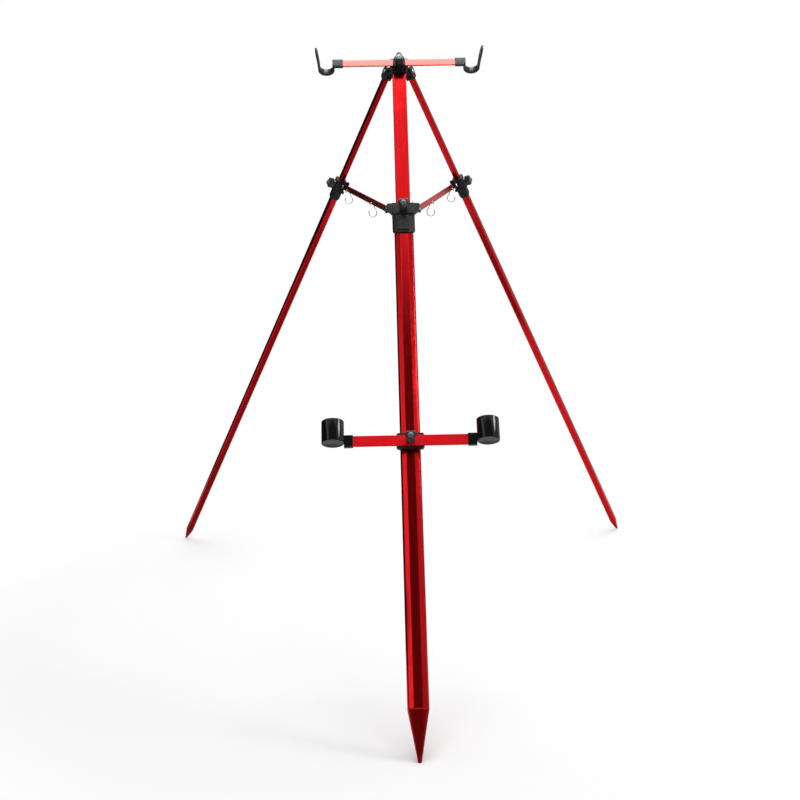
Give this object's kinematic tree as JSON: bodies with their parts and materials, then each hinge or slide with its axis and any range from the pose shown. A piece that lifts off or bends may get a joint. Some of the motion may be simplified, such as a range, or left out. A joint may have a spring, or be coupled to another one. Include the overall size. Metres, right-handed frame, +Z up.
{
  "type": "surf rod tripod",
  "caption": "Folding telescopic beach tripod that holds two surf rods: U rests on a top bar, butt cups on a lower bar, braced rear legs.",
  "frame": {"origin": "on the ground, at the middle of the box that holds the three feet", "axes": "+Z up, -Y towards the front leg and the person who fishes, +X to the right as seen from there"},
  "size_m": [1.2452, 1.5019, 1.2993],
  "materials": {
    "red_tube": "glossy red anodised",
    "red_bar": "satin red anodised",
    "black_nylon": "moulded, fine grain",
    "gloss_cup": "polished moulding",
    "grey_knob": "satin moulding",
    "satin_cap": "satin grey moulding",
    "plated_steel": "zinc plated",
    "hook_wire": "bright drawn wire"
  },
  "bodies": {
    "head": {"head_hub": "black_nylon", "front_upper_tube": "red_tube", "front_guide_bush": "black_nylon", "top_saddle": "black_nylon", "top_clamp_plate": "black_nylon", "rear_left_hinge_pin": "plated_steel", "rear_right_hinge_pin": "plated_steel"},
    "top_bar": {"top_bar": "red_bar", "left_rod_rest": "black_nylon", "right_rod_rest": "black_nylon"},
    "top_knob": {"top_knob": "grey_knob", "top_knob_cap": "satin_cap", "top_knob_screw": "plated_steel"},
    "centre_collar": {"centre_collar": "black_nylon", "front_left_pivot_screw": "plated_steel", "front_right_pivot_screw": "plated_steel"},
    "centre_knob": {"centre_knob": "grey_knob", "centre_knob_cap": "satin_cap", "centre_knob_screw": "plated_steel"},
    "front_lower_leg": {"front_sleeve": "black_nylon", "front_lower_tube": "red_tube", "front_point": "red_tube"},
    "lower_bracket": {"lower_bracket": "black_nylon"},
    "lower_bar": {"lower_bar": "red_bar", "left_butt_cup": "gloss_cup", "right_butt_cup": "gloss_cup"},
    "lower_knob": {"lower_knob": "grey_knob", "lower_knob_cap": "satin_cap", "lower_knob_screw": "plated_steel"},
    "rear_left_leg": {"rear_left_knuckle": "black_nylon", "rear_left_upper_tube": "red_tube", "rear_left_guide_bush": "black_nylon", "rear_left_collar": "black_nylon", "rear_left_pivot_pin": "plated_steel"},
    "rear_left_knob": {"rear_left_knob": "grey_knob", "rear_left_knob_cap": "satin_cap", "rear_left_knob_screw": "plated_steel"},
    "rear_left_lower_leg": {"rear_left_sleeve": "black_nylon", "rear_left_lower_tube": "red_tube", "rear_left_point": "red_tube"},
    "left_brace": {"left_brace": "red_bar"},
    "left_outer_hook": {"left_outer_hook": "hook_wire"},
    "left_inner_hook": {"left_inner_hook": "hook_wire"},
    "rear_right_leg": {"rear_right_knuckle": "black_nylon", "rear_right_upper_tube": "red_tube", "rear_right_guide_bush": "black_nylon", "rear_right_collar": "black_nylon", "rear_right_pivot_pin": "plated_steel"},
    "rear_right_knob": {"rear_right_knob": "grey_knob", "rear_right_knob_cap": "satin_cap", "rear_right_knob_screw": "plated_steel"},
    "rear_right_lower_leg": {"rear_right_sleeve": "black_nylon", "rear_right_lower_tube": "red_tube", "rear_right_point": "red_tube"},
    "right_brace": {"right_brace": "red_bar"},
    "right_outer_hook": {"right_outer_hook": "hook_wire"},
    "right_inner_hook": {"right_inner_hook": "hook_wire"}
  },
  "joints": [
    {"name": "rear_left_fold", "type": "hinge", "parent": "head", "child": "rear_left_leg", "pos_m": [-0.02372, 0.15214, 1.25026], "axis": [-0.8946, -0.3705, 0.2499], "range_deg": [0, 61.2]},
    {"name": "rear_right_fold", "type": "hinge", "parent": "head", "child": "rear_right_leg", "pos_m": [0.02372, 0.15214, 1.25026], "axis": [-0.8946, 0.3705, -0.2499], "range_deg": [0, 61.2]},
    {"name": "centre_collar_slide", "type": "slide", "parent": "head", "child": "centre_collar", "axis": [0, -0.5592, -0.829], "range_m": [0, 0.2625]},
    {"name": "left_brace_turn", "type": "hinge", "parent": "rear_left_leg", "child": "left_brace", "pos_m": [-0.12989, 0.24819, 0.99268], "axis": [-0.8946, -0.3705, 0.2499], "range_deg": [-113, 0]},
    {"name": "right_brace_turn", "type": "hinge", "parent": "rear_right_leg", "child": "right_brace", "pos_m": [0.12989, 0.24819, 0.99268], "axis": [-0.8946, 0.3705, -0.2499], "range_deg": [-113, 0]},
    {"name": "left_outer_hook_swing", "type": "hinge", "parent": "left_brace", "child": "left_outer_hook", "pos_m": [-0.12271, 0.22164, 0.98691], "axis": [-0.9492, -0.3148, 0], "range_deg": [-20, 77]},
    {"name": "left_inner_hook_swing", "type": "hinge", "parent": "left_brace", "child": "left_inner_hook", "pos_m": [-0.06648, 0.03127, 0.96246], "axis": [-0.9492, -0.3148, 0], "range_deg": [-20, 77]},
    {"name": "right_outer_hook_swing", "type": "hinge", "parent": "right_brace", "child": "right_outer_hook", "pos_m": [0.12271, 0.22164, 0.98691], "axis": [-0.9492, 0.3148, 0], "range_deg": [-20, 77]},
    {"name": "right_inner_hook_swing", "type": "hinge", "parent": "right_brace", "child": "right_inner_hook", "pos_m": [0.06648, 0.03127, 0.96246], "axis": [-0.9492, 0.3148, 0], "range_deg": [-20, 77]},
    {"name": "front_extension", "type": "slide", "parent": "centre_collar", "child": "front_lower_leg", "axis": [0, -0.5592, -0.829], "range_m": [0, 0.5]},
    {"name": "rear_left_extension", "type": "slide", "parent": "rear_left_leg", "child": "rear_left_lower_leg", "axis": [-0.3954, 0.3954, -0.829], "range_m": [0, 0.5]},
    {"name": "rear_right_extension", "type": "slide", "parent": "rear_right_leg", "child": "rear_right_lower_leg", "axis": [0.3954, 0.3954, -0.829], "range_m": [0, 0.5]},
    {"name": "lower_bracket_slide", "type": "slide", "parent": "front_lower_leg", "child": "lower_bracket", "axis": [0, -0.5592, -0.829], "range_m": [-0.25, 0.32]},
    {"name": "lower_bar_turn", "type": "hinge", "parent": "lower_bracket", "child": "lower_bar", "pos_m": [0, -0.43454, 0.51958], "axis": [0, -0.829, 0.5592], "range_deg": [-90, 90]},
    {"name": "top_bar_turn", "type": "hinge", "parent": "head", "child": "top_bar", "pos_m": [0, 0.08153, 1.26769], "axis": [0, -0.829, 0.5592], "range_deg": [-75, 75]},
    {"name": "top_knob_turn", "type": "hinge", "parent": "head", "child": "top_knob", "pos_m": [0, 0.08153, 1.26769], "axis": [0, -0.829, 0.5592], "range_deg": [0, 360]},
    {"name": "centre_knob_turn", "type": "hinge", "parent": "centre_collar", "child": "centre_knob", "pos_m": [0, -0.12182, 0.95494], "axis": [0, -0.829, 0.5592], "range_deg": [0, 360]},
    {"name": "lower_knob_turn", "type": "hinge", "parent": "lower_bracket", "child": "lower_knob", "pos_m": [0, -0.43454, 0.51958], "axis": [0, -0.829, 0.5592], "range_deg": [0, 360]},
    {"name": "rear_left_knob_turn", "type": "hinge", "parent": "rear_left_leg", "child": "rear_left_knob", "pos_m": [-0.15491, 0.26751, 1.00177], "axis": [-0.8946, -0.3705, 0.2499], "range_deg": [0, 360]},
    {"name": "rear_right_knob_turn", "type": "hinge", "parent": "rear_right_leg", "child": "rear_right_knob", "pos_m": [0.15491, 0.26751, 1.00177], "axis": [0.8946, -0.3705, 0.2499], "range_deg": [0, 360]}
  ],
  "couplings": [
    {"joint": "rear_right_fold", "follows": "rear_left_fold", "ratio": 1},
    {"joint": "centre_collar_slide", "follows": "rear_left_fold", "m_per_rad": 0.24169},
    {"joint": "left_brace_turn", "follows": "rear_left_fold", "ratio": -1.8152},
    {"joint": "right_brace_turn", "follows": "rear_left_fold", "ratio": -1.8152},
    {"joint": "left_outer_hook_swing", "follows": "rear_left_fold", "ratio": 1.1734},
    {"joint": "left_inner_hook_swing", "follows": "rear_left_fold", "ratio": 1.1734},
    {"joint": "right_outer_hook_swing", "follows": "rear_left_fold", "ratio": 1.1734},
    {"joint": "right_inner_hook_swing", "follows": "rear_left_fold", "ratio": 1.1734}
  ]
}
